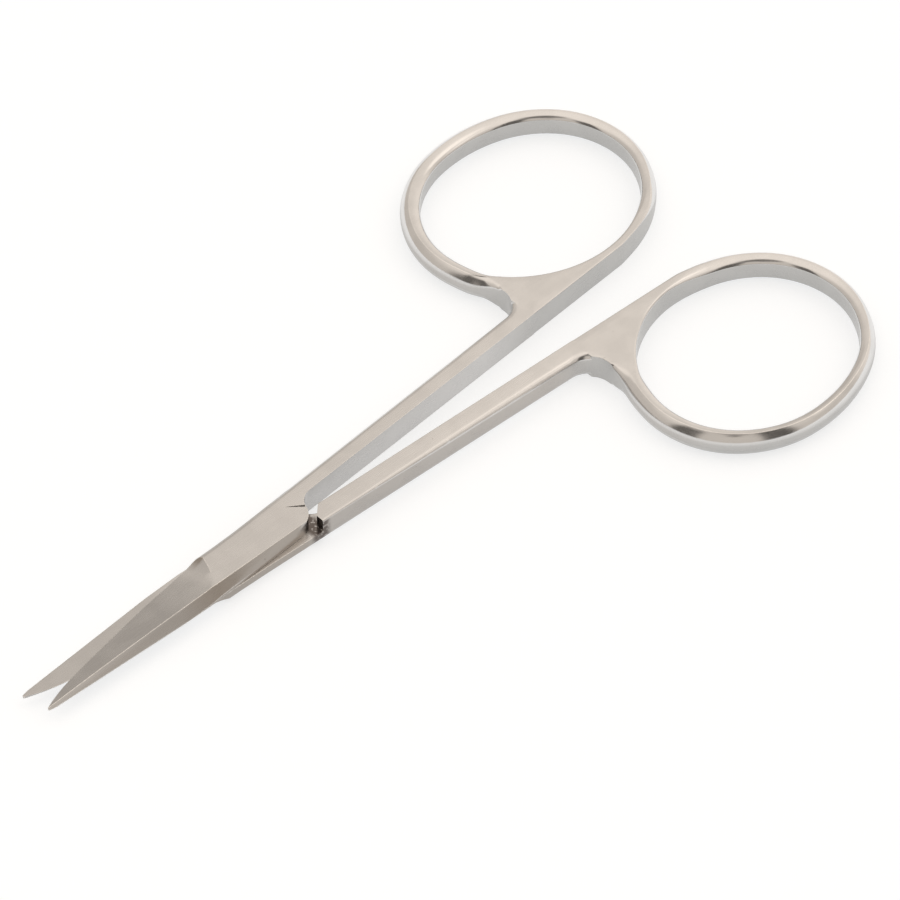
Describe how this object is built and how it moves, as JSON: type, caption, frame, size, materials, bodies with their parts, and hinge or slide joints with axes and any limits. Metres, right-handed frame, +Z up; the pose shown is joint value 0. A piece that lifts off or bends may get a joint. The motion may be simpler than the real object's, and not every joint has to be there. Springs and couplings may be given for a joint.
{
  "type": "surgical scissors",
  "caption": "Straight fine-pointed surgical scissors: slim shanks, oval finger rings and a flush slotted pivot screw.",
  "frame": {"origin": "on the pivot screw's axis, in the plane the scissors lie on", "axes": "+X from the pivot to the finger rings along the closed centre line, +Y to the upper half's ring, +Z up out of the upper half's outer face"},
  "size_m": [0.1165, 0.0655, 0.0035],
  "materials": {
    "half_steel": "bright satin with polished rounds",
    "screw_steel": "turned satin"
  },
  "bodies": {
    "lower": {"lower_half": "half_steel"},
    "upper": {"upper_half": "half_steel", "pivot_screw": "screw_steel"}
  },
  "joints": [
    {"name": "blade_pivot", "type": "hinge", "parent": "lower", "child": "upper", "pos_m": [0, 0, 0], "axis": [0, 0, 1], "range_deg": [-5.9, 84.1]}
  ]
}
